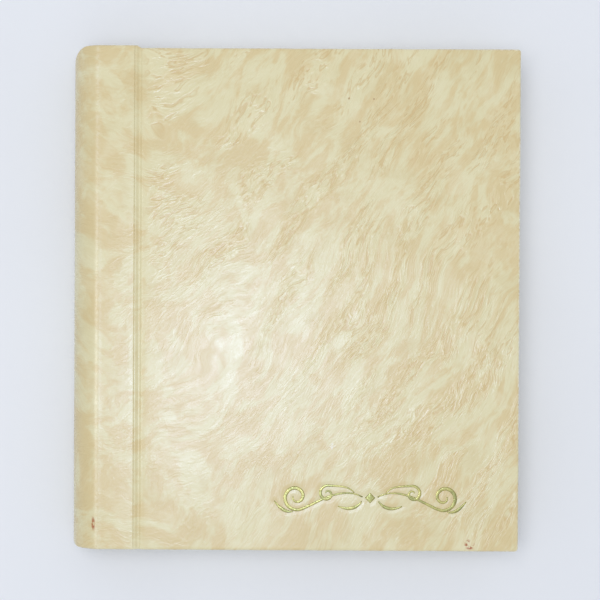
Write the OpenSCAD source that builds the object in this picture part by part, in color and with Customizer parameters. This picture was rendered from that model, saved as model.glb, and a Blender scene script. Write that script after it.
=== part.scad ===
// Post-bound album with a round spine, lying closed on its rear cover.
// Frame: +X from the spine to the fore-edge, +Y to the head, +Z up, and the origin
// at the centre of the underside. Everything runs along Y, so most parts are a
// cross-section in X and Z that is extruded along Y.

/* [Covers] */
// Overall thickness of the closed album
thick = 42; // [40:0.5:46]
// Height of each cover panel from tail to head
cover_len = 298; // [240:1:340]
// Width of each cover panel from the hinge groove to the fore-edge
cover_w = 226.1; // [180:0.1:260]
// How far the binding stands above the covers at the head
head_step = 1.6; // [0.5:0.1:3]
// Thickness of the covering skin
skin = 0.6; // [0.4:0.1:0.8]
// Thickness of the cover boards and the strip boards
board = 2.4; // [2:0.1:3]
// Width of the skin turned over the inside edges
turn_in = 15; // [10:1:25]
// Thickness of the pastedown paper
paper = 0.25; // [0.2:0.05:0.4]
// Margin of the cover around the pastedown
paper_margin = 4; // [3:0.5:8]

/* [Binding] */
// Width of the flat binding strip from the shoulder to the groove
strip_w = 24.6; // [22:0.1:30]
// Radius of the round spine
spine_r = 21.7; // [21.2:0.1:24]
// Thickness of the formed spine board
spine_board_t = 1.8; // [1.4:0.1:2.4]
// Thickness of the spine lining
lining = 0.4; // [0.2:0.1:0.6]
// Width of the gap between strip board and cover board
groove_gap = 3.2; // [2.6:0.2:4.4]
// Depth of the crease pressed into the groove
groove_dip = 0.8; // [0.4:0.1:1.2]
// Corner radius of the spine at the head, seen from above
head_round = 10; // [4:1:14]
// Corner radius of the spine at the tail, seen from above
tail_round = 4; // [3:1:12]
// Thickness of each inner binding strip
clamp_t = 1.8; // [1.4:0.1:2]
// Thickness of the cloth across the inside of each groove
cloth = 0.4; // [0.3:0.1:0.5]

/* [Leaves] */
// Number of leaves
leaf_count = 12; // [12]
// Thickness of a leaf's card
card_t = 1.6; // [1.2:0.1:1.7]
// Thickness of the clear film on each face
film_t = 0.1; // [0.05:0.05:0.2]
// Thickness of the linen hinge
linen_t = 0.4; // [0.2:0.1:0.5]
// Free width of linen between the guards and the card
linen_free = 17; // [14:1:20]
// Margin of the cover around a leaf
leaf_margin = 4; // [3:0.5:10]

/* [Posts] */
// Distance between neighbouring posts, 4 1/4 inches
post_pitch = 107.95; // [90:0.05:120]
// Outside diameter of a post barrel
barrel_d = 5; // [4.5:0.1:6]
// Diameter of the barrel's bore
bore_d = 3.2; // [2.6:0.1:3.4]
// Diameter of the screw and barrel heads
head_d = 9.5; // [8:0.1:10]
// Thickness of the heads
head_t = 1; // [0.8:0.1:1.1]

/* [Ornament] */
// Length of the stamped ornament
motif_len = 114; // [80:1:130]
// Width of the broadest stroke
motif_stroke = 2.2; // [1.2:0.1:3]

/* [Hidden] */
$fn = 96;
eps = 0.01;
over = 1; // how far a cutter runs past what it cuts
spine_w = sqrt(spine_r * spine_r - thick * thick / 4); // arc centre to shoulder, along the spine's depth
binding_w = strip_w + spine_r - spine_w; // spine to groove
total_w = binding_w + cover_w;
binding_len = cover_len + head_step;
x_spine = -total_w / 2;
x_groove = x_spine + binding_w;
x_fore = total_w / 2;
x_arc = x_spine + spine_r;
x_shoulder = x_arc - spine_w;
cover_y = -head_step / 2; // middle of a cover panel
half_gap = groove_gap / 2;
skin_split = 0.15; // half the slit in the skin at the hinge line
// Heights in the rear half of the case; the front half is its mirror image.
z_board = skin;
z_board_in = skin + board; // inner face of the boards
skin_corner = skin + 1; // corner radius of a covered panel in plan
board_corner = 1; // corner radius of a bare board in plan
paper_gap = 0.5; // between hinge cloth and pastedown
z_turn = z_board_in + skin; // inner face of the turned-in skin
z_clamp_in = z_turn + clamp_t; // inner face of the binding strip
stack_t = thick - 2 * z_clamp_in;
pitch = stack_t / leaf_count;
// Along X, in the binding
x_strip_end = x_groove - half_gap;
x_panel = x_groove + half_gap;
fold_gap = 0.8; // between spine board and strip board
x_clamp0 = x_shoulder + fold_gap + 0.5; // binding strips and guards, clear of the spine board
x_clamp1 = x_groove - 4.4; // and clear of the groove
x_post = (x_clamp0 + x_clamp1) / 2;
clamp_len = binding_len - 10;
x_card = x_clamp1 + linen_free;
x_card_end = x_fore - leaf_margin;
card_len = cover_len - 2 * leaf_margin;
linen_lap = 11; // linen glued on the card
x_film = x_card + linen_lap + 1;
film_margin = 3;
cloth_x0 = x_clamp0 + 2;
cloth_x1 = x_panel + 12; // cloth glued on the cover board
cloth_len = cover_len - 2 * turn_in - 4; // between the turned-in ends
hole_d = barrel_d + 0.4;
recess_d = head_d + 0.5;
recess_t = head_t + 0.2;
screw_len = 14;
screw_clear = 0.1; // between the screw and the bore
end_clear = 0.3; // between the end of a barrel and its screw head
slot_w = 1.2; // driver slot
slot_t = 0.5;
stamp_depth = 0.1; // face of the foil below the skin
foil_t = 0.05;
stem_steps = 10;
volute_steps = 26;
motif_x = x_fore - 31 - motif_len / 2;
motif_y = cover_y - cover_len / 2 + 31.5;

LEAF_NODES = [for (k = [1:leaf_count]) for (what = ["card", "films", "hinge"]) leaf_name(k, what)];

function leaf_name(k, what) = str("leaf_", k < 10 ? "0" : "", k, "_", what);

// Lowest height of the slot of leaf k, counted from the front
function slot_z(k) = thick - z_clamp_in - pitch * k;

// ---- helpers -----------------------------------------------------------

// A box from its lowest and highest corners
module span(low, high) {
    translate(low)
        cube(high - low);
}

// Draws its children in X and Z, and extrudes them along Y about the origin
module along_y(len) {
    rotate([90, 0, 0])
        linear_extrude(len, center = true)
            children();
}

// Turns a part of the rear half of the case into the same part of the front half
module front_side() {
    translate([0, 0, thick])
        mirror([0, 0, 1])
            children();
}

// Plan of a panel with small round corners at the fore-edge, from x0 to the fore-edge less inset
module panel_plan(x0, inset, r) {
    x1 = x_fore - inset;
    half = cover_len / 2 - inset;
    translate([0, cover_y]) {
        translate([x0, -half])
            square([x1 - r - x0, 2 * half]);
        translate([x1 - r - eps, -half + r])
            square([r + eps, 2 * (half - r)]);
        for (side = [-1, 1])
            translate([x1 - r, side * (half - r)])
                circle(r);
    }
}

// ---- spine -------------------------------------------------------------

// Cross-section of the binding, inset by d: the round spine and the flat strip
module binding_section(d) {
    intersection() {
        translate([x_arc, thick / 2])
            circle(spine_r - d, $fn = 128);
        translate([x_spine, d])
            square([x_shoulder - x_spine, thick - 2 * d]);
    }
    translate([x_shoulder - eps, d])
        square([x_groove - x_shoulder + eps, thick - 2 * d]);
}

// Plan of the binding, inset by d, with its two round corners at the spine
module binding_plan(d) {
    x0 = x_spine + d;
    half = binding_len / 2 - d;
    hr = head_round - d;
    tr = tail_round - d;
    x_in = x_spine + head_round;
    translate([x_in, -half])
        square([x_groove + over - x_in, 2 * half]);
    translate([x0, -half + tr])
        square([x_in - x0 + eps, 2 * half - tr - hr]);
    translate([x0 + tr, -half])
        square([x_in - x0 - tr + eps, tr + eps]);
    translate([x0 + tr, -half + tr])
        circle(tr);
    translate([x0 + hr, half - hr])
        circle(hr);
}

// The solid form of the binding, inset by d on every side
module binding_form(d) {
    intersection() {
        along_y(binding_len + 2 * over)
            binding_section(d);
        translate([0, 0, -over])
            linear_extrude(thick + 2 * over)
                binding_plan(d);
    }
}

// A cutter that opens the form at both ends, inset by d from the outside
module binding_hollow(d) {
    along_y(binding_len + 2 * over)
        intersection() {
            binding_section(d);
            translate([x_spine + d, 0])
                square([x_groove + over - x_spine, thick]);
        }
}

// The dip that the crease makes in the skin, as a section at the rear groove
module crease_section(low, high) {
    polygon([[x_strip_end - over, low], [x_strip_end, low], [x_groove - skin_split, low + groove_dip],
             [x_groove - skin_split, high + groove_dip], [x_strip_end, high], [x_strip_end - over, high]]);
}

// Half of the rear crease, as a strip of skin along the binding
module crease_strip() {
    along_y(binding_len)
        crease_section(0, skin);
}

module spine_leatherette() {
    color("wheat") {
        difference() {
            binding_form(0);
            binding_form(skin);
            binding_hollow(z_turn);
            span([x_strip_end, -binding_len, -over], [x_groove + over, binding_len, thick + over]);
        }
        // skin turned in over the ends, on the inside of the boards
        for (side = [-1, 1])
            intersection() {
                difference() {
                    binding_form(z_board_in);
                    binding_hollow(z_turn);
                }
                span([x_spine, side > 0 ? binding_len / 2 - turn_in : -binding_len, 0],
                     [x_strip_end, side > 0 ? binding_len : turn_in - binding_len / 2, thick]);
            }
        crease_strip();
        front_side()
            crease_strip();
    }
}

// Board bent round the hollow of the spine, from shoulder to shoulder
module spine_board() {
    color("tan")
        intersection() {
            difference() {
                binding_form(skin);
                binding_hollow(skin + spine_board_t);
            }
            span([x_spine, -binding_len, 0], [x_shoulder, binding_len, thick]);
        }
}

// Paper lining on the inside of the spine board, between the turned-in ends
module spine_lining() {
    inner = skin + spine_board_t;
    color("ivory")
        along_y(binding_len - 2 * turn_in - 2)
            intersection() {
                difference() {
                    binding_section(inner);
                    binding_section(inner + lining);
                }
                translate([x_spine, 0])
                    square([x_shoulder - x_spine, thick]);
            }
}

// Stiff strip between shoulder and groove
module strip_board() {
    color("tan")
        span([x_shoulder + fold_gap, skin - binding_len / 2, z_board],
             [x_strip_end, binding_len / 2 - skin, z_board_in]);
}

// Inner strip that the posts clamp the leaves with
module binding_strip() {
    color("gainsboro")
        difference() {
            span([x_clamp0, -clamp_len / 2, z_turn], [x_clamp1, clamp_len / 2, z_clamp_in]);
            for (i = [-1:1])
                translate([x_post, i * post_pitch, 0]) {
                    cylinder(d = hole_d, h = thick);
                    translate([0, 0, z_turn - over])
                        cylinder(d = recess_d, h = recess_t + over);
                }
        }
}

// Cloth across the inside of the groove, glued to both boards
module hinge_cloth() {
    color("oldlace")
        translate([0, cover_y, 0])
            span([cloth_x0, -cloth_len / 2, z_board_in], [cloth_x1, cloth_len / 2, z_board_in + cloth]);
}

// ---- covers ------------------------------------------------------------

module cover_board() {
    color("tan")
        translate([0, 0, z_board])
            linear_extrude(board)
                panel_plan(x_panel, skin, board_corner);
}

// One skin over the outer face, the three edges and the turned-in margin
module cover_leatherette() {
    color("wheat") {
        difference() {
            linear_extrude(z_turn)
                panel_plan(x_panel, 0, skin_corner);
            translate([0, 0, z_board])
                linear_extrude(board)
                    panel_plan(x_panel - over, skin, board_corner);
            translate([0, 0, z_board])
                linear_extrude(thick)
                    panel_plan(x_panel - over, turn_in, board_corner);
        }
        translate([0, cover_y, 0])
            along_y(cover_len)
                polygon([[x_panel, 0], [x_groove + skin_split, groove_dip],
                         [x_groove + skin_split, skin + groove_dip], [x_panel, skin]]);
    }
}

// The front one has the recess of the stamp
module front_cover_leatherette() {
    color("wheat")
        difference() {
            front_side()
                cover_leatherette();
            stamp(stamp_depth + foil_t, -over);
        }
}

// Paper on the inside: over the turned-in margin, and stepped down onto the board
module cover_pastedown() {
    x0 = cloth_x1 + paper_gap;
    color("ivory")
        difference() {
            translate([0, 0, z_board_in])
                linear_extrude(skin + paper)
                    panel_plan(x0, paper_margin, board_corner);
            // the turned-in skin
            translate([0, 0, z_board_in - over])
                linear_extrude(over + skin)
                    difference() {
                        panel_plan(x0 - over, 0, board_corner);
                        panel_plan(x0 - 2 * over, turn_in, board_corner);
                    }
            // the lower middle
            translate([0, 0, z_board_in + paper])
                linear_extrude(thick)
                    panel_plan(x0 - over, turn_in + paper, board_corner);
        }
}

// ---- ornament ----------------------------------------------------------

// Width of a stroke at u from 0 to 1: thin at both ends, broad in between
function stroke_width(u) = motif_stroke * (0.2 + 0.8 * pow(sin(180 * min(1, u * 0.85 + 0.08)), 1.3));

function bezier(p, t) =
    pow(1 - t, 3) * p[0] + 3 * pow(1 - t, 2) * t * p[1] + 3 * (1 - t) * t * t * p[2] + t * t * t * p[3];

function polar(r, a) = r * [cos(a), sin(a)];

// Points of a scroll: a stem from start, leaving along pull, that winds into a volute about c
function scroll(start, pull, c, r, a, sweep) =
    let (end = c + polar(r, a), way = polar(sign(sweep) * r, a + 90))
        concat([for (i = [0:stem_steps - 1]) bezier([start, start + pull, end - way, end], i / stem_steps)],
               [for (i = [0:volute_steps]) c + polar(r * (1 - 0.8 * i / volute_steps), a + sweep * i / volute_steps)]);

module stroke(points, broad = 1) {
    last = len(points) - 1;
    side = [for (i = [0:last])
        let (d = points[min(i + 1, last)] - points[max(i - 1, 0)])
            [-d[1], d[0]] / norm(d) * broad * stroke_width(i / last) / 2];
    polygon(concat([for (i = [0:last]) points[i] + side[i]],
                   [for (i = [last:-1:0]) points[i] - side[i]]));
}

// Right half of the ornament, for a motif 114 mm long
module motif_half() {
    stroke(scroll([4.5, 0.5], [14, 8], [44, 0.4], 7.8, -100, 470));
    stroke(scroll([9.5, 3], [3, 4.5], [25.5, 2.4], 4.9, 95, -430), 0.8);
    stroke([for (i = [0:8]) bezier([[46, -8.2], [50, -9], [53, -7], [57, -2]], i / 8)], 0.9);
    stroke([for (i = [0:8]) bezier([[5, -2], [8, -6.5], [13, -7.5], [19, -5]], i / 8)], 0.9);
}

module motif() {
    scale(motif_len / 114) {
        motif_half();
        mirror([1, 0])
            motif_half();
        rotate(45)
            square(4.4, center = true);
    }
}

// Recess of the stamp, and the foil in it
module stamp(low, high) {
    translate([motif_x, motif_y, thick - low])
        linear_extrude(low - high)
            motif();
}

module front_foil_ornament() {
    color("goldenrod")
        stamp(stamp_depth + foil_t, stamp_depth);
}

// ---- leaves ------------------------------------------------------------

// Spacers at the spine edge, one for each leaf
module leaf_guards() {
    color("beige")
        for (k = [1:leaf_count])
            difference() {
                span([x_clamp0, -clamp_len / 2, slot_z(k)],
                     [x_clamp1, clamp_len / 2, slot_z(k) + pitch - linen_t]);
                post_holes(slot_z(k));
            }
}

module post_holes(z) {
    for (i = [-1:1])
        translate([x_post, i * post_pitch, z - over])
            cylinder(d = hole_d, h = pitch + 2 * over);
}

// Top of a leaf's card, where the linen is glued
function card_top(k) = slot_z(k) + pitch - linen_t;

module leaf_card(k) {
    color("ivory")
        translate([0, cover_y, 0])
            span([x_card, -card_len / 2, card_top(k) - card_t], [x_card_end, card_len / 2, card_top(k)]);
}

module leaf_films(k) {
    half = card_len / 2 - film_margin;
    color("lightcyan", 0.5)
        translate([0, cover_y, 0])
            for (z = [card_top(k), card_top(k) - card_t - film_t])
                span([x_film, -half, z], [x_card_end - film_margin, half, z + film_t]);
}

module leaf_hinge(k) {
    color("oldlace")
        difference() {
            span([x_clamp0, cover_y - card_len / 2 + 1, card_top(k)],
                 [x_card + linen_lap, cover_y + card_len / 2 - 1, card_top(k) + linen_t]);
            post_holes(slot_z(k));
        }
}

// ---- posts -------------------------------------------------------------

module post_barrels() {
    z_head = z_turn + recess_t - head_t;
    z_end = thick - z_turn - recess_t - end_clear;
    color("silver")
        for (i = [-1:1])
            translate([x_post, i * post_pitch, 0])
                difference() {
                    union() {
                        translate([0, 0, z_head])
                            cylinder(d = head_d, h = head_t);
                        translate([0, 0, z_head])
                            cylinder(d = barrel_d, h = z_end - z_head);
                    }
                    translate([0, 0, z_head + head_t])
                        cylinder(d = bore_d, h = thick);
                }
}

module post_screws() {
    z_head = thick - z_turn - recess_t;
    color("silver")
        for (i = [-1:1])
            translate([x_post, i * post_pitch, 0])
                difference() {
                    union() {
                        translate([0, 0, z_head])
                            cylinder(d = head_d, h = head_t);
                        translate([0, 0, z_head - screw_len])
                            cylinder(d = bore_d - screw_clear, h = screw_len + head_t);
                    }
                    // driver slot
                    translate([-head_d, -slot_w / 2, z_head + head_t - slot_t])
                        cube([2 * head_d, slot_w, over]);
                }
}

spine_leatherette();
spine_board();
spine_lining();
front_side() strip_board();  // front_strip_board
strip_board();  // rear_strip_board
front_side() binding_strip();  // front_binding_strip
binding_strip();  // rear_binding_strip
leaf_guards();
post_barrels();
post_screws();
front_side() hinge_cloth();  // front_hinge_cloth
hinge_cloth();  // rear_hinge_cloth
front_side() cover_board();  // front_board
front_cover_leatherette();  // front_leatherette
front_side() cover_pastedown();  // front_pastedown
front_foil_ornament();
cover_board();  // rear_board
cover_leatherette();  // rear_leatherette
cover_pastedown();  // rear_pastedown
for (k = [1:leaf_count]) {
    leaf_card(k);
    leaf_films(k);
    leaf_hinge(k);
}
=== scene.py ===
import math

import bmesh
import bpy
import numpy as np
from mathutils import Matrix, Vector


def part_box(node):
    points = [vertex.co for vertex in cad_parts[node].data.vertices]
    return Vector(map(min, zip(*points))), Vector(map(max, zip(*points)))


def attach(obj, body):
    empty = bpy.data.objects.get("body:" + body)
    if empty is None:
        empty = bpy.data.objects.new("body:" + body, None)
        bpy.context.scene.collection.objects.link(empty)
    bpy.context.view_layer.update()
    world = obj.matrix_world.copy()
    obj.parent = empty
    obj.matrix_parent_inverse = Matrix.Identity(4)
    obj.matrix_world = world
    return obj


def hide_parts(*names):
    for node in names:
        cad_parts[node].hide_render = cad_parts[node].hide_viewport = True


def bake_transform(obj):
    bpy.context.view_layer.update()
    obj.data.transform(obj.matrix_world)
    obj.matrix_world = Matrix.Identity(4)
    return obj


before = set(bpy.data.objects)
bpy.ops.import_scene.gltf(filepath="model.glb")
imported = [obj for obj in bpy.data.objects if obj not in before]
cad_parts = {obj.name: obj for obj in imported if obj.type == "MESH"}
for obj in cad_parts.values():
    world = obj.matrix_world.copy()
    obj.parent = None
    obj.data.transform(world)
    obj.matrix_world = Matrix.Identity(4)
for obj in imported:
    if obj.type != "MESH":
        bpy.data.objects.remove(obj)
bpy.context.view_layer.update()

MM = 0.001  # every length below is in millimetres; add_piece() turns them into metres


def low(node):
    return np.array(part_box(node)[0]) / MM


def high(node):
    return np.array(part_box(node)[1]) / MM


# ---- sizes, all from the frame -------------------------------------------------------------------

THICK = high("front_leatherette")[2]
X_SPINE = low("spine_leatherette")[0]
X_SHOULDER = high("spine_board")[0]
X_STRIP_END = high("front_strip_board")[0]
X_PANEL = low("front_board")[0]
X_GROOVE = (X_STRIP_END + X_PANEL) / 2
X_FORE = high("front_leatherette")[0]
Y_TAIL = low("front_leatherette")[1]
Y_HEAD = high("front_leatherette")[1]
Y_HEAD_BINDING = high("spine_leatherette")[1]
SKIN = low("rear_board")[2]
BOARD_IN = high("rear_board")[2]
TURN = high("rear_leatherette")[2]
CLOTH_X0, CLOTH_X1 = low("rear_hinge_cloth")[0], high("rear_hinge_cloth")[0]
SAG = X_SHOULDER - X_SPINE
SPINE_R = ((THICK / 2) ** 2 + SAG ** 2) / (2 * SAG)
X_ARC = X_SPINE + SPINE_R
ARC_HALF = math.asin(THICK / 2 / SPINE_R)
ARC_LEN = 2 * ARC_HALF * SPINE_R
STRIP_LEN = X_GROOVE - X_SHOULDER
GROOVE_DIP = 0.8
TURN_IN = 15.0  # width of the skin folded to the inside
EDGE_R = 1.1  # rounding of the covered board edges
SEAM = X_STRIP_END - 1.0  # where the spine skin and a cover skin meet, in the first crease line
CORNER_R = 2.0
HEAD_ROUND, TAIL_ROUND = 10.0, 4.0
SPINE_WALL = 3.0  # skin, spine board and turned-in skin
GROOVE_WALL = 2.15  # the same fold where the groove has no board in it
GRID = 0.95  # spacing of a cover's outer face, just under the export's triangle limit
HEM_STEPS, HEM_STEPS_INNER = 5, 2  # rings round a board edge, outer and inner face
SHOULDER_EASE = 1.6  # half the length over which the shoulders of the spine are eased
FOIL_RELIEF = 0.5  # share of the skin's crinkles that the foil follows
LEAVES = 12
FRONT, REAR = 1, -1


# ---- noise and the crinkle relief ----------------------------------------------------------------

def smooth(t):
    t = np.clip(t, 0, 1)
    return t * t * (3 - 2 * t)


def noise(x, y, seed):
    """Gradient noise from about -1 to 1, with cells of size 1."""
    angle = np.random.default_rng(seed).uniform(0, 2 * np.pi, (256, 256))
    i, j = np.floor(x).astype(int), np.floor(y).astype(int)
    fx, fy = x - i, y - j
    wx, wy = fx ** 3 * (fx * (fx * 6 - 15) + 10), fy ** 3 * (fy * (fy * 6 - 15) + 10)

    def corner(a, b):
        t = angle[(i + a) % 256, (j + b) % 256]
        return np.cos(t) * (fx - a) + np.sin(t) * (fy - b)

    near = corner(0, 0) * (1 - wx) + corner(1, 0) * wx
    far = corner(0, 1) * (1 - wx) + corner(1, 1) * wx
    return 1.5 * (near * (1 - wy) + far * wy)


def flow(u, v):
    """Coordinates across and along the crinkles at u, v: straight out of the spine, then climbing."""
    out = np.maximum(u, -ARC_LEN - 2 * STRIP_LEN - u) + 10
    climb = np.where(out < 90, np.clip(out, 0, None) ** 2 / 125, 1.44 * (out - 45))
    across = v - climb + 19 * noise(u / 82, v / 82, 1) + 6.5 * noise(u / 27, v / 27, 2)
    across = across + 1.3 * noise(u / 9, v / 9, 16)
    along = u + 0.4 * v + 12 * noise(u / 70, v / 70, 3)
    return across, along


def ridges(n, width):
    return np.exp(-(n / width) ** 2)


def crimp(u, v):
    """Share of the embossing, 0 to 1: bundles in the upper and right part of a panel, little elsewhere."""
    across, along = flow(u, v)
    out = np.maximum(u, -ARC_LEN - 2 * STRIP_LEN - u)
    panel = smooth((v + 0.9 * (out - 60) + 75) / 110) * smooth((out + 2) / 12)
    bundles = smooth(0.42 + 1.9 * noise(across / 24, along / 55, 4))
    return np.maximum(bundles * panel, 0.16 + 0.12 * smooth(0.5 + noise(u / 20, v / 20, 17)))


def relief(u, v):
    """Height in mm of the broader crinkles and of the uneven covering. The material adds the fine ones."""
    across, along = flow(u, v)
    h = 0.07 * crimp(u, v) * ridges(noise(across / 6.5, along / 12.5, 6), 0.22)
    h += 0.03 * crimp(u, v) * noise(across / 4.8, along / 9, 7)
    h += 0.09 * noise(u / 55, v / 55, 9) + 0.02 * noise(u / 14, v / 14, 10)
    return h - 0.05


def crease_lines(x, v):
    """The groove, and the fine stress lines beside it, as a change of height at x."""
    wander = 0.25 * noise(v / 31, 0 * v + 0.5, 11) + 0.1 * noise(v / 7, 0 * v + 3.5, 12)
    t = np.abs(x - X_GROOVE + 0.4 * wander) / (X_GROOVE - X_STRIP_END + 0.7)
    h = -GROOVE_DIP * 1.15 * (1 - smooth(t)) ** 1.2
    for i, (at, deep) in enumerate(((-2.9, 0.10), (-4.0, 0.06), (2.7, 0.07))):
        strength = 0.4 + 0.6 * smooth(0.5 + noise(v / 23, 0 * v + i, 13))
        h = h - deep * strength * np.exp(-((x - X_GROOVE - at - wander) / 0.42) ** 2)
    past_groove = smooth((x - X_STRIP_END) / (X_PANEL - X_STRIP_END))
    return h - 0.3 * np.exp(-np.clip(x - X_PANEL, 0, None) / 4) * past_groove


# ---- meshes --------------------------------------------------------------------------------------

def add_piece(name, verts, faces, slot, material, sheet=None, wear=None, flat_angle=None):
    """A mesh object in metres from points in mm, with its material. The slot argument is not used."""
    mesh = bpy.data.meshes.new(name)
    mesh.from_pydata((np.asarray(verts) * MM).tolist(), [], [tuple(map(int, f)) for f in faces])
    mesh.shade_smooth()
    if flat_angle:
        mesh.set_sharp_from_angle(angle=math.radians(flat_angle))
    if sheet is not None:
        across, along = flow(sheet[:, 0], sheet[:, 1])
        for label, a, b in (("sheet", sheet[:, 0], sheet[:, 1]), ("flow", across, along)):
            values = np.stack([a, b, 0 * a], 1).astype(np.float32)
            mesh.attributes.new(label, "FLOAT_VECTOR", "POINT").data.foreach_set("vector", values.ravel())
        for label, value in (("wear", wear), ("crimp", crimp(sheet[:, 0], sheet[:, 1]))):
            mesh.attributes.new(label, "FLOAT", "POINT").data.foreach_set("value", value.astype(np.float32))
    mesh.materials.append(material)
    piece = bpy.data.objects.new(name, mesh)
    bpy.context.scene.collection.objects.link(piece)
    return piece


def quads(index):
    """Faces of a grid of vertex numbers."""
    return np.stack([index[:-1, :-1], index[:-1, 1:], index[1:, 1:], index[1:, :-1]], -1).reshape(-1, 4)


def zip_loops(points, a, b):
    """Triangles between two closed loops of vertex numbers that follow the same path."""
    def share(loop):
        step = np.linalg.norm(np.roll(points[loop], -1, 0) - points[loop], axis=1)
        return np.concatenate([[0], np.cumsum(step)]) / step.sum()

    sa, sb, i, j, faces = share(a), share(b), 0, 0, []
    while i < len(a) or j < len(b):
        if j >= len(b) or (i < len(a) and sa[i + 1] <= sb[j + 1]):
            faces.append((a[i], a[(i + 1) % len(a)], b[j % len(b)]))
            i += 1
        else:
            faces.append((a[i % len(a)], b[(j + 1) % len(b)], b[j]))
            j += 1
    return faces


def hem_path(inset, steps):
    """The skin's way round a board edge: outward, down, and the share of the wall's depth, for each ring."""
    r, r2 = EDGE_R - inset, 0.5  # outer and inner rounding
    t = np.linspace(0, math.pi / 2, steps + 1)[1:]
    rows = [(r * math.sin(a), inset + r * (1 - math.cos(a)), 0) for a in t]
    rows += [(r, (inset + r) * (1 - s) - (inset + r2) * s, s) for s in (0.5, 1.0)]
    rows += [(r - r2 * (1 - math.cos(a)), r2 * (math.sin(a) - 1) - inset, 1) for a in t[1::2]]
    for s in np.linspace(0, 1, 8)[1:]:
        rows.append(((r - r2) * (1 - s) + (EDGE_R - TURN_IN) * s, -inset, 1))
    return np.array(rows)


class Sheet:
    """A skin folded round its borders, made as an outer and an inner face that are zipped together."""

    def __init__(self):
        self.points, self.sheet, self.wear, self.faces, self.loops = [], [], [], [], []
        self.count = 0

    def add(self, points, sheet, wear):
        index = self.count + np.arange(len(points))
        self.points.append(points)
        self.sheet.append(sheet)
        self.wear.append(wear)
        self.count += len(points)
        return index

    def close(self):
        points = np.concatenate(self.points)
        self.faces = list(self.faces) + zip_loops(points, *self.loops)
        return points, np.concatenate(self.sheet), np.concatenate(self.wear)


def consistent(piece):
    """Points every face outward."""
    bm = bmesh.new()
    bm.from_mesh(piece.data)
    bmesh.ops.recalc_face_normals(bm, faces=bm.faces)
    bm.to_mesh(piece.data)
    bm.free()
    return piece


def round_corner(x, y):
    """Rounds the two corners at the fore-edge in plan."""
    for y_edge, way in ((Y_HEAD, 1), (Y_TAIL, -1)):
        a = (x - (X_FORE - CORNER_R)) / CORNER_R
        b = (way * (y - y_edge) + CORNER_R) / CORNER_R
        inside = (a > 0) & (b > 0) & (b < 2)
        a1, b1 = np.clip(a, 0, 1), np.clip(b, 0, 1)
        dx = np.where(inside, a * (np.sqrt(1 - b1 ** 2 / 2) - 1), 0) * CORNER_R
        dy = np.where(inside, b * (np.sqrt(1 - a1 ** 2 / 2) - 1), 0) * CORNER_R
        x, y = x + dx, y + way * dy
    return x, y


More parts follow.
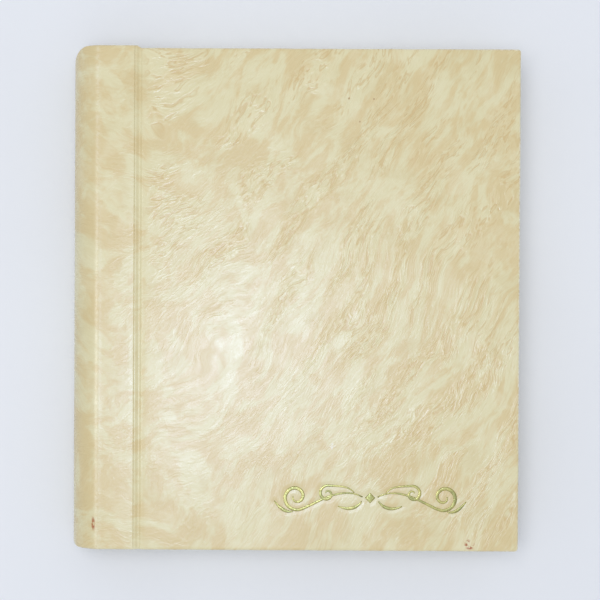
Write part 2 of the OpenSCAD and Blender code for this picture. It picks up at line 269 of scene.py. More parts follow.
def cover_sheet(sheet, side, inset, columns, rows):
    """One face of a cover's skin: the panel, half of the crease zone, three folded edges and the turn-ins."""
    x = np.concatenate([np.linspace(SEAM, X_PANEL + 1.5, columns[0]),
                        np.linspace(X_PANEL + 1.5, X_FORE - EDGE_R, columns[1])[1:]])
    step = smooth((x - X_STRIP_END) / (X_PANEL - X_STRIP_END))
    y_low = np.full_like(x, Y_TAIL + EDGE_R)
    y_high = Y_HEAD_BINDING * (1 - step) + Y_HEAD * step - EDGE_R
    share = np.linspace(0, 1, rows)[:, None]
    gx = np.broadcast_to(x, (rows, len(x)))
    gy = y_low * (1 - share) + y_high * share
    u = gx - X_GROOVE if side == FRONT else -2 * STRIP_LEN - ARC_LEN - (gx - X_GROOVE)
    bumps = relief(u, gy) + crease_lines(gx, gy) if inset == 0 else crease_lines(gx, gy)
    if side == FRONT and inset == 0:
        bumps = bumps - stamped_depth(gx, gy)
    depth = inset - bumps  # below the nominal outer face
    px, py = round_corner(gx, gy)
    grid = np.stack([px, py, depth], -1).reshape(-1, 3)
    uv = np.stack([u, gy], -1).reshape(-1, 2)
    index = sheet.add(grid, uv, np.zeros(len(grid))).reshape(gx.shape)
    faces = [quads(index)]
    # the border, from the seam along the head, down the fore-edge, and back along the tail
    border = np.concatenate([index[-1], index[-2::-1, -1], index[0, -2::-1]])
    n_head, n_fore = len(x), rows - 1
    base = np.stack([gx, gy], -1).reshape(-1, 2)[border - index[0, 0]]
    way = np.zeros((len(border), 2))
    reach = 30.0  # how far from a corner the fold starts to turn towards it
    near_fore = np.clip(1 - (X_FORE - EDGE_R - base[:, 0]) / reach, 0, 1)
    near_head = np.clip(1 - (Y_HEAD - EDGE_R - base[:, 1]) / reach, 0, 1)
    near_tail = np.clip(1 - (base[:, 1] - Y_TAIL - EDGE_R) / reach, 0, 1)
    way[:n_head] = np.stack([near_fore, 0 * near_fore + 1], 1)[:n_head]
    on_fore = slice(n_head, n_head + n_fore)
    way[on_fore] = np.stack([0 * near_head + 1, near_head - near_tail], 1)[on_fore]
    way[n_head + n_fore:] = np.stack([near_fore, 0 * near_fore - 1], 1)[n_head + n_fore:]
    way[n_head + n_fore - 1] = (1, -1)
    in_groove = 1 - smooth((np.abs(base[:, 0] - X_GROOVE) - 0.8) / 2.0)
    wall = TURN * (1 - in_groove) + GROOVE_WALL * in_groove
    start = depth.reshape(-1)[border - index[0, 0]]
    uv0 = uv[border - index[0, 0]]
    u_way = np.stack([way[:, 0] * side, way[:, 1]], 1)
    uneven = 0.12 * noise((base[:, 0] + base[:, 1]) / 13, (base[:, 0] - base[:, 1]) / 17, 14)
    rubbed = 0.35 + 0.65 * smooth((base[:, 0] - 100) / 30) * smooth((base[:, 1] + 95) / 25) \
        * smooth((115 - base[:, 1]) / 25)
    rubbed = np.maximum(rubbed, near_fore * np.maximum(near_head, near_tail) ** 4)
    rings, length, last_out, last_down = [border], 0, 0.0, 0.0
    for k, (out, down, deep) in enumerate(hem_path(inset, HEM_STEPS if inset == 0 else HEM_STEPS_INNER)):
        fade = max(0.0, 1 - (k + 1) / 5)
        over = start - inset  # what the crinkles and the groove add at the border
        level = down + deep * wall + over * (fade * (1 - in_groove) + (1 - 0.5 * deep) * in_groove)
        length += math.hypot(out - last_out, down - last_down) if deep in (0, 1) else 1.2
        last_out, last_down = out, down
        reach_out = out + (uneven * min(1, (k + 1) / 4) if out > 0 else 0 * uneven)
        place = base + way * reach_out[:, None]
        rx, ry = round_corner(place[:, 0], place[:, 1])
        ring = np.stack([rx, ry, level], 1)
        worn = rubbed * (1.0 if 1 <= k <= 6 else 0.35 if k == 0 else 0.0) if inset == 0 else 0 * rubbed
        rings.append(sheet.add(ring, uv0 + u_way * length, worn))
    rings = np.array(rings)
    faces.append(quads(rings))
    sheet.faces = [tuple(f) for f in sheet.faces] + [tuple(f) for f in np.concatenate(faces)]
    loop = np.concatenate([rings[::-1, 0], index[-2:0:-1, 0], rings[:, -1], rings[-1, -2:0:-1]])
    sheet.loops.append(loop)


def cover_skin(side, name, node, material):
    sheet = Sheet()
    cover_sheet(sheet, side, 0, (15, int((X_FORE - X_PANEL) / GRID)), int((Y_HEAD - Y_TAIL) / GRID))
    cover_sheet(sheet, side, SKIN, (11, 40), 60)
    points, uv, wear = sheet.close()
    points[:, 2] = THICK - points[:, 2] if side == FRONT else points[:, 2]
    piece = consistent(add_piece(name, points, sheet.faces, "leatherette", material, uv, wear))
    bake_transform(piece)
    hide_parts(node)


def section(u):
    """Point of the binding's outline at sheet coordinate u: strip, round spine, strip."""
    turn = np.clip((-u - STRIP_LEN) / ARC_LEN, 0, 1)
    angle = math.pi - ARC_HALF + 2 * ARC_HALF * turn
    on_arc = (u < -STRIP_LEN) & (u > -STRIP_LEN - ARC_LEN)
    front = u >= -STRIP_LEN
    x = np.where(on_arc, X_ARC + SPINE_R * np.cos(angle),
                 np.where(front, X_GROOVE + u, X_SHOULDER - (u + STRIP_LEN + ARC_LEN)))
    z = np.where(on_arc, THICK / 2 + SPINE_R * np.sin(angle), np.where(front, THICK, 0))
    return x, z


def outline(u):
    """The section with its shoulders eased, and the normal there."""
    ease = np.linspace(-SHOULDER_EASE, SHOULDER_EASE, 9)
    x, z = (np.mean([section(u + d)[i] for d in ease], 0) for i in (0, 1))
    on_arc = np.abs(u + STRIP_LEN + ARC_LEN / 2) <= ARC_LEN / 2 + SHOULDER_EASE
    d = 0.3
    xa, za = (np.mean([section(u + e + d)[i] for e in ease], 0) for i in (0, 1))
    xb, zb = (np.mean([section(u + e - d)[i] for e in ease], 0) for i in (0, 1))
    n = np.stack([zb - za, xa - xb], -1)
    n /= np.linalg.norm(n, axis=-1, keepdims=True)
    # averaging pulls the arc inward a little, which is put back
    sag = on_arc * (SHOULDER_EASE ** 2 / 6 / SPINE_R)
    return x + n[..., 0] * sag, z + n[..., 1] * sag, n[..., 0], n[..., 1]


def end_drop(x, radius):
    """How much shorter the binding is at x because of its round corner in plan."""
    d = np.clip(x - X_SPINE, 0, radius)
    d = np.minimum(np.sqrt(d * d + 0.25), radius)
    return radius - np.sqrt(np.clip(radius ** 2 - (radius - d) ** 2, 0, None))


def spine_sheet(sheet, inset, columns, rows):
    """One face of the skin over the binding, with its ends turned in."""
    end = SEAM - X_GROOVE
    u = np.linspace(end, -2 * STRIP_LEN - ARC_LEN - end, columns)
    x, z, nx, nz = outline(u)
    y_high = Y_HEAD_BINDING - end_drop(x, HEAD_ROUND) - EDGE_R
    y_low = Y_TAIL + end_drop(x, TAIL_ROUND) + EDGE_R
    share = np.linspace(0, 1, rows)[:, None]
    gy = y_low * (1 - share) + y_high * share
    gu = np.broadcast_to(u, gy.shape)
    plan_x = X_GROOVE + np.maximum(gu, -2 * STRIP_LEN - ARC_LEN - gu)
    bumps = crease_lines(plan_x, gy)
    on_arc = smooth(1 - (np.abs(gu + STRIP_LEN + ARC_LEN / 2) - ARC_LEN / 2) / 3)
    off_middle = (plan_x - (X_SHOULDER + X_GROOVE) / 2) / STRIP_LEN * 2
    bumps = bumps - 0.132 * (1 - on_arc) * off_middle ** 2  # the strips are slightly crowned
    if inset == 0:
        bumps = bumps + relief(gu, gy)
    depth = inset - bumps
    grid = np.stack([x - nx * depth, gy, z - nz * depth], -1).reshape(-1, 3)
    uv = np.stack([gu, gy], -1).reshape(-1, 2)
    rub = np.exp(-((np.abs(gu + STRIP_LEN + ARC_LEN / 2) - ARC_LEN / 2) / 1.3) ** 2) * 0.3
    index = sheet.add(grid, uv, rub.reshape(-1)).reshape(gy.shape)
    faces = [quads(index)]
    arc_now = on_arc[0]
    wall = TURN * (1 - arc_now) + SPINE_WALL * arc_now
    ends = []
    for row, way in ((rows - 1, 1), (0, -1)):
        rings, length = [index[row]], 0
        for k, (out, down, deep) in enumerate(hem_path(inset, HEM_STEPS if inset == 0 else HEM_STEPS_INNER)):
            level = down + deep * wall + (depth[row] - inset) * max(0.0, 1 - (k + 1) / 5)
            length += 0.6 if out > 0 else 2.1
            ring = np.stack([x - nx * level, gy[row] + way * out, z - nz * level], -1)
            worn = np.full(columns, 0.45 if inset == 0 and 1 <= k <= 6 else 0.0)
            rings.append(sheet.add(ring, np.stack([u, gy[row] + way * length], -1), worn))
        rings = np.array(rings)
        faces.append(quads(rings))
        ends.append(rings)
    sheet.faces = [tuple(f) for f in sheet.faces] + [tuple(f) for f in np.concatenate(faces)]
    head, tail = ends
    loop = np.concatenate([head[::-1, 0], index[-2:0:-1, 0], tail[:, 0], tail[-1, 1:],
                           tail[-2::-1, -1], index[1:-1, -1], head[:, -1], head[-1, -2:0:-1]])
    sheet.loops.append(loop)


def spine_skin(material):
    sheet = Sheet()
    spine_sheet(sheet, 0, 130, 360)
    spine_sheet(sheet, SKIN, 60, 60)
    points, uv, wear = sheet.close()
    piece = consistent(add_piece("spine_skin", points, sheet.faces, "leatherette", material, uv, wear))
    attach(piece, "binding")
    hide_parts("spine_leatherette")


# ---- ornament ------------------------------------------------------------------------------------

def bezier(p, t):
    p, t = np.array(p, float), np.asarray(t)[:, None]
    return (1 - t) ** 3 * p[0] + 3 * (1 - t) ** 2 * t * p[1] + 3 * (1 - t) * t * t * p[2] + t ** 3 * p[3]


def polar(r, degrees):
    a = np.radians(degrees)
    return np.stack([r * np.cos(a), r * np.sin(a)], -1)


def scroll(start, pull, centre, r, a, sweep):
    """A stem from start that winds into a volute about centre."""
    start, centre = np.array(start, float), np.array(centre, float)
    end = centre + polar(r, a)
    way = polar(math.copysign(r, sweep), a + 90)
    stem = bezier([start, start + pull, end - way, end], np.linspace(0, 1, 24)[:-1])
    t = np.linspace(0, 1, 64)
    return np.concatenate([stem, centre + polar(r * (1 - 0.8 * t), a + sweep * t)])


MOTIF_STROKE = 2.2
HALF_MOTIF = [
    (scroll((4.5, 0.5), (14, 8), (44, 0.4), 7.8, -100, 470), 1.0),
    (scroll((9.5, 3), (3, 4.5), (25.5, 2.4), 4.9, 95, -430), 0.8),
    (bezier([(46, -8.2), (50, -9), (53, -7), (57, -2)], np.linspace(0, 1, 20)), 0.9),
    (bezier([(5, -2), (8, -6.5), (13, -7.5), (19, -5)], np.linspace(0, 1, 20)), 0.9),
]
DIAMOND_HALF = 3.1


def motif_strokes():
    """Centre line and width of each stroke, placed where the CAD has the ornament."""
    strokes = []
    for points, broad in HALF_MOTIF:
        u = np.linspace(0, 1, len(points))
        width = MOTIF_STROKE * broad * (0.2 + 0.8 * np.sin(np.pi * np.minimum(1, u * 0.85 + 0.08)) ** 1.3)
        for way in (1, -1):
            strokes.append((points * (way, 1), width))
    points = np.array([(0, y) for y in np.linspace(-DIAMOND_HALF, DIAMOND_HALF, 9)])
    strokes.append((points, 2 * (DIAMOND_HALF - np.abs(points[:, 1])) + 0.05))
    every = np.concatenate([p for p, w in strokes])
    middle = (every.min(0) + every.max(0)) / 2
    lo, hi = low("front_foil_ornament"), high("front_foil_ornament")
    at = (lo + hi)[:2] / 2
    size = (hi - lo)[0] / (np.ptp(every[:, 0]) + 0.5)
    return [((p - middle) * size + at, w * size) for p, w in strokes]


STROKES = motif_strokes()


def stamped_depth(x, y):
    """How far the hot stamp has pressed the skin down, in mm."""
    depth = np.zeros(x.shape)
    lo, hi = low("front_foil_ornament"), high("front_foil_ornament")
    near = (x > lo[0] - 3) & (x < hi[0] + 3) & (y > lo[1] - 3) & (y < hi[1] + 3)
    gap = np.full(near.sum(), 99.0)
    for points, width in STROKES:
        for p, w in zip(points, width):
            gap = np.minimum(gap, np.hypot(x[near] - p[0], y[near] - p[1]) - w / 2)
    depth[near] = 0.24 * (1 - smooth((gap - 0.2) / 1.3))
    return depth


def foil_ornament(material):
    """Closed ribbons with a soft rounded face, lying in the stamped skin."""
    verts, faces, count = [], [], 0
    top = THICK - 0.05
    for points, width in STROKES:
        along = np.gradient(points, axis=0)
        along /= np.linalg.norm(along, axis=1, keepdims=True) + 1e-9
        across = np.stack([-along[:, 1], along[:, 0]], 1)
        shape = [(-1, -0.17), (-0.86, -0.04), (-0.5, 0.0), (0, 0.012), (0.5, 0.0), (0.86, -0.04), (1, -0.17)]
        n = len(points)
        lanes = []
        rise = relief(points[:, 0] - X_GROOVE, points[:, 1]) * FOIL_RELIEF
        for side, height in shape + [(1, -0.3), (-1, -0.3)]:
            xy = points + across * (width * side / 2)[:, None]
            lanes.append(np.column_stack([xy, np.full(n, top + height) + rise]))
        verts.append(np.concatenate(lanes))
        index = count + np.arange(len(lanes) * n).reshape(len(lanes), n)
        faces += [tuple(f) for f in quads(np.vstack([index, index[:1]]))]
        faces += [tuple(index[:, 0]), tuple(index[::-1, -1])]
        count += len(lanes) * n
    piece = consistent(add_piece("foil_scrolls", np.concatenate(verts), faces, "foil", material))
    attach(piece, "front_cover")
    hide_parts("front_foil_ornament")


# ---- leaves, paper and cloth ---------------------------------------------------------------------

def perimeter(index):
    return np.concatenate([index[0, :-1], index[:-1, -1], index[-1, :0:-1], index[:0:-1, 0]])


def slab(xs, ys, bottom, top, bevel, corner=0.0):
    """A closed sheet over a plan grid, between two heights, with a rounded rim."""
    gx, gy = np.meshgrid(xs, ys)
    ix = np.clip(gx, xs[0] + bevel, xs[-1] - bevel)
    iy = np.clip(gy, ys[0] + bevel, ys[-1] - bevel)
    zb, zt = bottom(gx, gy), top(gx, gy)
    n = gx.size
    index = np.arange(n).reshape(gx.shape)
    rim = perimeter(index)
    mid = (zb + zt) / 2
    layers = [np.column_stack([ix.ravel(), iy.ravel(), zt.ravel()]),
              np.column_stack([ix.ravel(), iy.ravel(), zb.ravel()]),
              np.column_stack([gx.ravel()[rim], gy.ravel()[rim], mid.ravel()[rim]])]
    verts = np.concatenate(layers)
    if corner:
        for x_edge, wx in ((xs[0], -1), (xs[-1], 1)):
            for y_edge, wy in ((ys[0], -1), (ys[-1], 1)):
                a = np.clip(1 + wx * (verts[:, 0] - x_edge) / corner, 0, 1)
                b = np.clip(1 + wy * (verts[:, 1] - y_edge) / corner, 0, 1)
                verts[:, 0] += wx * corner * a * (np.sqrt(1 - b * b / 2) - 1)
                verts[:, 1] += wy * corner * b * (np.sqrt(1 - a * a / 2) - 1)
    ring = 2 * n + np.arange(len(rim))
    faces = list(map(tuple, quads(index))) + list(map(tuple, quads(n + index)[:, ::-1]))
    faces += list(map(tuple, quads(np.array([np.append(rim, rim[0]), np.append(ring, ring[0])]))))
    faces += list(map(tuple, quads(np.array([np.append(ring, ring[0]), np.append(n + rim, n + rim[0])]))))
    return verts, faces


def joined(parts):
    verts, faces, count = [], [], 0
    for v, f in parts:
        verts.append(v)
        faces += [tuple(np.array(face) + count) for face in f]
        count += len(v)
    return np.concatenate(verts), faces


def spread(a, b, step, extra=()):
    """Evenly spaced values from a to b, with two close ones at each end, and extra ones."""
    inner = np.linspace(a, b, max(3, int(round((b - a) / step))) + 1)
    return np.unique(np.concatenate([inner, [a + 0.9, b - 0.9], list(extra)]))


def leaf(k, page, film, linen):
    name = f"leaf_{k:02d}"
    lo, hi = low(name + "_card"), high(name + "_card")

    def wave(x, y):
        """Slight warp of the card, none where the linen holds it."""
        held = smooth((x - lo[0]) / 60)
        broad, small = noise(x / 90 + k, y / 90, 20 + k), noise(x / 30, y / 30 + k, 40 + k)
        return held * (0.13 * broad + 0.04 * small)

    xs, ys = spread(lo[0], hi[0], 7), spread(lo[1], hi[1], 7)
    verts, faces = slab(xs, ys, lambda x, y: lo[2] + wave(x, y), lambda x, y: hi[2] + wave(x, y), 0.35, 1.6)
    card = consistent(add_piece(name + "_page", verts, faces, "page_card", page, flat_angle=40))
    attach(card, name)
    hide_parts(name + "_card")

    flo, fhi = low(name + "_films"), high(name + "_films")
    xs, ys = spread(flo[0], fhi[0], 4), spread(flo[1], fhi[1], 4)

    def ripple(x, y):
        return 0.03 + 0.03 * noise(x / 11 + k, y / 34, 60 + k) + 0.02 * noise(x / 5, y / 9, 61 + k)

    faces_up = slab(xs, ys, lambda x, y: hi[2] + wave(x, y) + 0.01,
                    lambda x, y: fhi[2] + wave(x, y) + ripple(x, y), 0.05, 2.0)
    faces_down = slab(xs, ys, lambda x, y: flo[2] + wave(x, y) - ripple(x, y),
                      lambda x, y: lo[2] + wave(x, y) - 0.01, 0.05, 2.0)
    sheets = consistent(add_piece(name + "_cover_films", *joined([faces_up, faces_down]), "clear_film", film))
    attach(sheets, name)
    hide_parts(name + "_films")

    llo, lhi = low(name + "_hinge"), high(name + "_hinge")
    xs, ys = spread(llo[0], lhi[0], 1.4), spread(llo[1], lhi[1], 6)
    x_held = high("rear_binding_strip")[0]

    def sag(x, y):
        """The free part between guard and card dips a little."""
        t = np.clip((x - x_held) / (lo[0] - x_held), 0, 1)
        return -0.16 * np.sin(np.pi * t) ** 2 * (0.7 + 0.3 * noise(x / 30, y / 22, 80 + k)) \
            + wave(x, y) * (x > lo[0])

    verts, faces = slab(xs, ys, lambda x, y: llo[2] + sag(x, y), lambda x, y: lhi[2] + sag(x, y), 0.1)
    strip = consistent(add_piece(name + "_linen", verts, faces, "hinge_linen", linen))
    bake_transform(strip)
    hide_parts(name + "_hinge")


def mirrored(verts, side):
    verts = np.array(verts)
    if side == FRONT:
        verts[:, 2] = THICK - verts[:, 2]
    return verts


def hinge_cloth(side, name, node, linen):
    """Cloth on the strip and the board, pressed down into the groove between them."""
    y0, y1 = low(node)[1], high(node)[1]
    thin = high("rear_hinge_cloth")[2] - BOARD_IN
    groove = np.linspace(X_STRIP_END - 1, X_PANEL + 1, 19)
    xs, ys = spread(CLOTH_X0, CLOTH_X1, 3.0, groove), spread(y0, y1, 5)

    def level(x, y):
        t = np.abs(x - X_GROOVE) / (X_GROOVE - X_STRIP_END)
        return BOARD_IN - 1.25 * (1 - smooth(t - 0.1)) + 0.03 * noise(x / 9, y / 9, 90 + side)

    verts, faces = slab(xs, ys, level, lambda x, y: level(x, y) + thin, 0.12)
    piece = consistent(add_piece(name, mirrored(verts, side), faces, "hinge_linen", linen))
    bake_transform(piece)
    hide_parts(node)


def pastedown(side, name, body, node, paper):
    """Paper over the turned-in margin and down onto the board, the margin's step showing through."""
    lo, hi = low("rear_pastedown"), high("rear_pastedown")
    thin = 0.25
    x_step, y_steps = X_FORE - TURN_IN, (Y_TAIL + TURN_IN, Y_HEAD - TURN_IN)
    near = np.linspace(-1.5, 1.5, 7)
    xs = spread(lo[0], hi[0], 5, x_step + near)
    ys = spread(lo[1], hi[1], 5, np.concatenate([y_steps[0] + near, y_steps[1] + near]))

    def level(x, y):
        margin = np.maximum.reduce([x - x_step, y - y_steps[1], y_steps[0] - y])
        up = smooth(margin / 1.6 + 0.5) * (TURN - BOARD_IN)
        return BOARD_IN + up + 0.02 * noise(x / 17, y / 17, 95 + side)

    verts, faces = slab(xs, ys, level, lambda x, y: level(x, y) + thin, 0.06, 1.0)
    piece = consistent(add_piece(name, mirrored(verts, side), faces, "lining_paper", paper))
    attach(piece, body)
    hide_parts(node)


# ---- materials -----------------------------------------------------------------------------------

def tone(r, g, b):
    """A linear colour from an sRGB one out of 255."""
    c = np.array([r, g, b]) / 255
    return (*np.where(c < 0.04045, c / 12.92, ((c + 0.055) / 1.055) ** 2.4).tolist(), 1)


class Paint:
    """Builds one node material."""

    def __init__(self, name):
        self.material = bpy.data.materials.new(name)
        self.material.use_nodes = True
        self.tree = self.material.node_tree
        self.shader = self.tree.nodes["Principled BSDF"]

    def node(self, kind, inputs=None, out=0, **settings):
        made = self.tree.nodes.new(kind)
        for key, value in settings.items():
            setattr(made, key, value)
        for key, value in (inputs or {}).items():
            self.put(made.inputs[key], value)
        return made.outputs[out]

    def put(self, socket, value):
        if isinstance(value, bpy.types.NodeSocket):
            self.tree.links.new(value, socket)
        else:
            socket.default_value = value

    def set(self, **values):
        for key, value in values.items():
            self.put(self.shader.inputs[key.replace("_", " ")], value)

    def attribute(self, name, out="Vector"):
        return self.node("ShaderNodeAttribute", attribute_name=name, out=out)

    def place(self):
        return self.node("ShaderNodeTexCoord", out="Object")

    def stretch(self, vector, x, y, z=1.0):
        return self.node("ShaderNodeVectorMath", {0: vector, 1: (x, y, z)}, operation="MULTIPLY")

    def shift(self, vector, x, y, z=0.0):
        return self.node("ShaderNodeVectorMath", {0: vector, 1: (x, y, z)}, operation="SUBTRACT")

    def noise(self, vector, scale, detail=3.0, rough=0.55, bend=0.0):
        return self.node("ShaderNodeTexNoise", {"Vector": vector, "Scale": scale, "Detail": detail,
                                                "Roughness": rough, "Distortion": bend})

    def span(self, value, a, b, c=0.0, d=1.0):
        return self.node("ShaderNodeMapRange", {"Value": value, "From Min": a, "From Max": b,
                                                "To Min": c, "To Max": d}, interpolation_type="SMOOTHSTEP")

    def math(self, operation, a, b=0.0):
        return self.node("ShaderNodeMath", {0: a, 1: b}, operation=operation)

    def mix(self, share, a, b):
        return self.node("ShaderNodeMix", {0: share, 6: a, 7: b}, out=2, data_type="RGBA")

    def line(self, value, at, width):
        """1 where value is near at, 0 further off than width."""
        off = self.math("ABSOLUTE", self.math("SUBTRACT", value, at))
        return self.span(off, 0.0, width, 1.0, 0.0)

    def near(self, vector, x, y, stretch_y, reach, soft):
        """1 within reach of a point in the sheet, fading over soft."""
        local = self.stretch(self.shift(vector, x, y), 1, stretch_y)
        far = self.node("ShaderNodeVectorMath", {0: local}, out="Value", operation="LENGTH")
        return self.span(far, reach, reach + soft, 1.0, 0.0)

    def bump(self, height, distance, normal=None, strength=1.0):
        inputs = {"Height": height, "Distance": distance, "Strength": strength}
        if normal is not None:
            inputs["Normal"] = normal
        return self.node("ShaderNodeBump", inputs)


def leather():
    """Marbled two-tone cream leatherette: fine embossed crinkles with painted highlight on their crests and
    painted shade in their valleys, a satin finish, stains, rubbed edges.
    """
    p = Paint("marbled_leatherette")
    sheet, flows = p.attribute("sheet"), p.attribute("flow")
    wear = p.attribute("wear", "Fac")
    # colour
    swirl = p.noise(p.stretch(flows, 0.040, 0.031), 1.0, 3, 0.5, 1.1)
    feather = p.noise(p.stretch(flows, 0.125, 0.082), 1.0, 3, 0.6, 0.5)
    patches = p.math("ADD", p.math("MULTIPLY", swirl, 0.62), p.math("MULTIPLY", feather, 0.38))
    colour = p.mix(p.span(patches, 0.44, 0.56), tone(215, 209, 172), tone(209, 193, 149))
    cloud = p.noise(sheet, 0.045, 3, 0.55, 0.6)
    colour = p.mix(p.span(cloud, 0.5, 0.68, 0, 0.4), colour, tone(221, 216, 184))
    colour = p.mix(p.span(cloud, 0.5, 0.34, 0, 0.35), colour, tone(203, 188, 143))
    # crinkles: hair lines along the flow, strongest in the bundles; their crests and valleys also get painted
    # highlight and painted shade in the colour
    bundles = p.attribute("crimp", "Fac")
    coarse = p.noise(p.stretch(flows, 0.27, 0.11), 1.0, 1.5, 0.5, 0.4)
    fine = p.noise(p.stretch(flows, 0.52, 0.17), 1.0, 2, 0.5, 0.5)
    where = p.span(p.noise(sheet, 0.04, 2), 0.38, 0.6, 0.15, 0.6)
    crests = p.math("MULTIPLY", p.line(coarse, 0.5, 0.13), bundles)
    valleys = p.math("MULTIPLY", p.line(coarse, 0.615, 0.075), bundles)
    hairs = p.math("MULTIPLY", p.line(fine, 0.5, 0.16), p.math("MAXIMUM", where, bundles))
    grain = p.noise(sheet, 2.2, 3, 0.6)
    # painted highlight: lighter colour along the crinkle crests
    colour = p.mix(p.math("MULTIPLY", crests, 0.26), colour, tone(226, 218, 182))
    # painted shade: darker colour in the crinkle valleys
    colour = p.mix(p.math("MULTIPLY", valleys, 0.62), colour, tone(200, 174, 124))
    colour = p.mix(p.math("MULTIPLY", hairs, 0.12), colour, tone(204, 182, 134))
    # stains at their places on the sheet, in mm from the front groove and the middle of the height
    spots = p.math("MAXIMUM", p.near(sheet, 124.3, 118.7, 1, 0.35, 0.5),
                   p.near(sheet, 139.1, 118.4, 1, 0.3, 0.5))
    spots = p.math("MAXIMUM", spots, p.near(sheet, 130.8, 105.0, 1, 0.25, 0.5))
    colour = p.mix(p.math("MULTIPLY", spots, 0.6), colour, tone(150, 108, 68))
    ragged = p.span(p.noise(sheet, 0.42, 4, 0.65), 0.45, 0.51)
    ring_far = p.node("ShaderNodeVectorMath", {0: p.shift(sheet, 197.3, -145.6)}, out="Value",
                      operation="LENGTH")
    torn = p.math("SUBTRACT", 1.0, p.near(sheet, 199.0, -143.6, 1, 1.3, 1.0))
    ring = p.math("MULTIPLY", p.math("MULTIPLY", p.line(ring_far, 2.1, 1.5), ragged), torn)
    streaked = p.math("MULTIPLY", p.near(sheet, -26.6, -134.5, 0.3, 0.4, 1.3), ragged)
    rust = p.math("MAXIMUM", ring, streaked)
    colour = p.mix(p.math("MULTIPLY", rust, 0.95), colour, tone(160, 76, 24))
    scuff = p.math("MAXIMUM", p.near(sheet, 115.4, -87.6, 5, 1.2, 1.6),
                   p.near(sheet, 115.4, -87.6, 0.35, 0.3, 0.7))
    scuff = p.math("MULTIPLY", scuff, p.span(p.noise(sheet, 0.9, 3), 0.4, 0.55))
    colour = p.mix(p.math("MULTIPLY", scuff, 0.7), colour, tone(232, 234, 232))
    # rubbed edges
    chips = p.span(p.noise(sheet, 0.5, 4, 0.7), 0.40, 0.60)
    rubbed = p.math("MULTIPLY", p.math("MULTIPLY", wear, chips), 0.75)
    colour = p.mix(rubbed, colour, tone(238, 236, 226))
    gaps = p.math("MULTIPLY", p.span(p.noise(sheet, 0.8, 3, 0.6), 0.66, 0.72), wear)
    colour = p.mix(p.math("MULTIPLY", gaps, 0.8), colour, tone(96, 84, 64))
    normal = p.bump(grain, 0.00002)
    normal = p.bump(hairs, 0.00003, normal)
    normal = p.bump(crests, 0.00009, normal)
    rough = p.span(p.noise(p.stretch(flows, 0.3, 0.06), 1.0, 3), 0.35, 0.65, 0.25, 0.31)
    rough = p.math("ADD", rough, p.math("MULTIPLY", rubbed, 0.2))
    p.set(Base_Color=colour, Roughness=rough, Normal=normal, Specular_IOR_Level=0.5)
    return p.material


def foil():
    p = Paint("stamped_foil")
    at = p.place()
    worn = p.noise(at, 900, 4, 0.7)
    soft = p.noise(at, 160, 3, 0.6)
    colour = p.mix(p.span(soft, 0.35, 0.65), tone(160, 157, 98), tone(190, 180, 112))
    colour = p.mix(p.span(worn, 0.62, 0.75, 0, 0.7), colour, tone(122, 118, 82))
    p.set(Base_Color=colour, Metallic=0.85, Roughness=p.span(worn, 0.3, 0.7, 0.24, 0.5),
          Normal=p.bump(worn, 0.00004))
    return p.material


def paper(name, light, dark, fleck=1.0):
    p = Paint(name)
    at = p.place()
    fibres = p.noise(p.stretch(at, 1, 1, 3), 700, 5, 0.7)
    cloud = p.noise(at, 22, 3)
    colour = p.mix(p.span(cloud, 0.35, 0.65), light, dark)
    colour = p.mix(p.span(fibres, 0.58, 0.74, 0, 0.3 * fleck), colour, tone(168, 150, 118))
    p.set(Base_Color=colour, Roughness=p.span(fibres, 0.3, 0.7, 0.72, 0.9),
          Normal=p.bump(fibres, 0.00006 * fleck))
    return p.material


def page_card():
    """Cream page board: rows of adhesive across the faces, compressed plies at the edges, yellowed rim."""
    p = Paint("page_board")
    at = p.place()
    fibres = p.noise(at, 500, 4, 0.65)
    plies = p.noise(p.stretch(at, 0.15, 0.15, 14), 300, 3, 0.6)
    cloud = p.noise(at, 14, 3, 0.6)
    colour = p.mix(p.span(cloud, 0.35, 0.65), tone(236, 230, 208), tone(226, 216, 186))
    rows = p.node("ShaderNodeTexWave", {"Vector": at, "Scale": 50.0, "Distortion": 0.6, "Detail": 1.0},
                  out="Fac", wave_type="BANDS", bands_direction="Y")
    glue = p.span(rows, 0.62, 0.9)
    colour = p.mix(p.math("MULTIPLY", glue, 0.4), colour, tone(214, 196, 148))
    colour = p.mix(p.span(plies, 0.5, 0.7, 0, 0.3), colour, tone(196, 180, 146))
    normal = p.bump(glue, 0.00007, p.bump(fibres, 0.00004))
    p.set(Base_Color=colour, Roughness=p.span(glue, 0, 1, 0.78, 0.5), Normal=normal)
    return p.material


def clear_film():
    p = Paint("clear_film")
    at = p.place()
    haze = p.noise(at, 60, 4, 0.6)
    pull = p.noise(p.stretch(at, 1, 0.12), 260, 3, 0.6)
    colour = p.mix(p.span(haze, 0.4, 0.7), tone(244, 244, 238), tone(236, 234, 218))
    p.set(Base_Color=colour, Alpha=p.span(haze, 0.3, 0.7, 0.16, 0.30),
          Roughness=p.span(pull, 0.3, 0.7, 0.06, 0.16), Normal=p.bump(pull, 0.00005))
    return p.material


def linen():
    p = Paint("book_linen")
    at = p.place()
    threads = []
    for direction in ("X", "Y"):
        threads.append(p.node("ShaderNodeTexWave", {"Vector": at, "Scale": 420.0, "Distortion": 0.8,
                                                    "Detail": 1.0, "Detail Scale": 3.0},
                              out="Fac", wave_type="BANDS", bands_direction=direction))
    weave = p.math("MULTIPLY", *threads)
    slub = p.noise(p.stretch(at, 1, 0.1), 600, 3, 0.6)
    colour = p.mix(weave, tone(206, 198, 176), tone(238, 232, 214))
    colour = p.mix(p.span(slub, 0.55, 0.75, 0, 0.35), colour, tone(196, 184, 156))
    p.set(Base_Color=colour, Roughness=p.span(slub, 0.3, 0.7, 0.8, 0.92), Sheen_Weight=0.25,
          Normal=p.bump(weave, 0.00012))
    return p.material


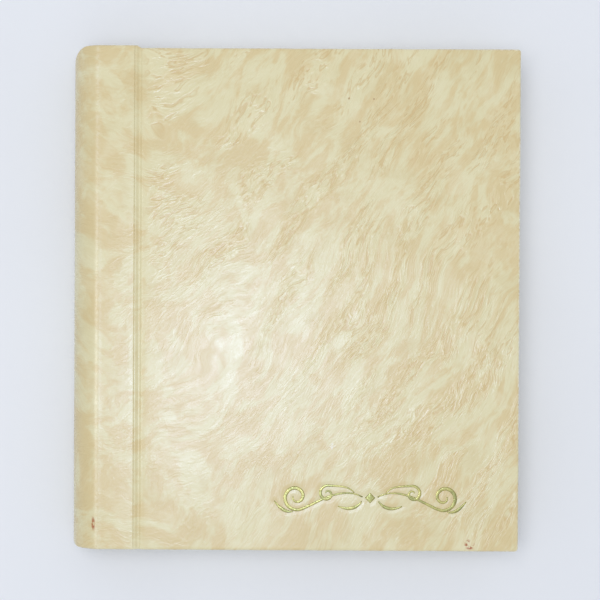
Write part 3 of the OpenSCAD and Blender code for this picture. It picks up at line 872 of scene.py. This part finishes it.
def metal():
    p = Paint("post_aluminium")
    at = p.place()
    turned = p.noise(p.stretch(at, 1, 1, 0.1), 2600, 2)
    dull = p.noise(at, 300, 3)
    colour = p.mix(p.span(dull, 0.4, 0.7), tone(206, 206, 208), tone(176, 176, 180))
    p.set(Base_Color=colour, Metallic=1.0, Roughness=p.span(dull, 0.3, 0.7, 0.25, 0.42),
          Normal=p.bump(turned, 0.00002))
    return p.material


def floor_material():
    p = Paint("pale_floor")
    at = p.place()
    cloud = p.noise(at, 3, 3, 0.5)
    grit = p.noise(at, 900, 2)
    colour = p.mix(p.span(cloud, 0.3, 0.7), tone(228, 232, 240), tone(224, 228, 236))
    p.set(Base_Color=colour, Roughness=0.8, Normal=p.bump(grit, 0.00003))
    return p.material


# ---- the album -----------------------------------------------------------------------------------

def dress(material, *nodes):
    """Gives shown CAD nodes their material."""
    for node in nodes:
        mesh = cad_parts[node].data
        mesh.materials.clear()
        mesh.materials.append(material)


def make_album():
    skin, gold, sized_linen = leather(), foil(), linen()
    page, film = page_card(), clear_film()
    liner = paper("lining_paper", tone(240, 236, 222), tone(230, 223, 202))
    guard = paper("guard_card", tone(232, 224, 200), tone(220, 208, 176))
    grey = paper("grey_board", tone(176, 164, 140), tone(156, 144, 122), 2.0)
    strip = paper("strip_board", tone(206, 196, 172), tone(190, 178, 152), 1.5)
    spine_skin(skin)
    cover_skin(FRONT, "front_cover_skin", "front_leatherette", skin)
    cover_skin(REAR, "rear_cover_skin", "rear_leatherette", skin)
    foil_ornament(gold)
    hinge_cloth(FRONT, "front_cloth_joint", "front_hinge_cloth", sized_linen)
    hinge_cloth(REAR, "rear_cloth_joint", "rear_hinge_cloth", sized_linen)
    pastedown(FRONT, "front_endpaper", "front_cover", "front_pastedown", liner)
    pastedown(REAR, "rear_endpaper", "rear_cover", "rear_pastedown", liner)
    for k in range(1, LEAVES + 1):
        leaf(k, page, film, sized_linen)
    dress(grey, "front_board", "rear_board", "spine_board", "front_strip_board", "rear_strip_board")
    dress(strip, "front_binding_strip", "rear_binding_strip")
    dress(guard, "leaf_guards")
    dress(liner, "spine_lining")
    dress(metal(), "post_barrels", "post_screws")


# ---- floor, light and camera ---------------------------------------------------------------------

def add_floor():
    mesh = bpy.data.meshes.new("floor")
    size = 8.0
    corners = [(-size, -size, 0), (size, -size, 0), (size, size, 0), (-size, size, 0)]
    mesh.from_pydata(corners, [], [(0, 1, 2, 3)])
    mesh.materials.append(floor_material())
    floor = bpy.data.objects.new("floor", mesh)
    bpy.context.scene.collection.objects.link(floor)
    floor.location.z = -0.0002


def add_light(name, at, aim, size, power, colour=(1, 1, 1)):
    data = bpy.data.lights.new(name, "AREA")
    data.shape, data.energy, data.color = "RECTANGLE", power, colour
    data.size, data.size_y = size
    lamp = bpy.data.objects.new(name, data)
    bpy.context.scene.collection.objects.link(lamp)
    lamp.location = at
    lamp.rotation_mode = "QUATERNION"
    lamp.rotation_quaternion = (Vector(at) - Vector(aim)).to_track_quat("Z", "Y")
    return lamp


def add_lights():
    world = bpy.data.worlds.new("soft_room")
    bpy.context.scene.world = world
    world.use_nodes = True
    background = world.node_tree.nodes["Background"]
    background.inputs[0].default_value = (0.95, 0.97, 1.0, 1)
    background.inputs[1].default_value = 0.62
    overhead = add_light("overhead", (-0.14, 0.08, 1.7), (0, 0, 0), (0.8, 0.8), 13.5, (1.0, 0.985, 0.96))
    overhead.visible_glossy = False
    window = add_light("window", (-1.0, -0.12, 1.6), (-0.12, -0.05, 0.04), (0.4, 0.5), 5.5)
    window.visible_diffuse = False
    sheen = add_light("sheen", (-0.086, -0.088, 1.12), (-0.045, -0.045, 0.04), (0.12, 0.30), 3.5,
                      (0.57, 0.70, 1.0))
    sheen.visible_diffuse = False


def add_camera():
    data = bpy.data.cameras.new("camera")
    data.sensor_width, data.lens = 36.0, 96.9
    camera = bpy.data.objects.new("camera", data)
    bpy.context.scene.collection.objects.link(camera)
    camera.location = (0.0077, 0.0080, 1.000)
    camera.rotation_euler = (math.radians(-0.53), math.radians(0.27), math.radians(0.29))
    bpy.context.scene.camera = camera


make_album()
add_floor()
add_lights()
add_camera()
bpy.context.scene.view_settings.view_transform = "Standard"
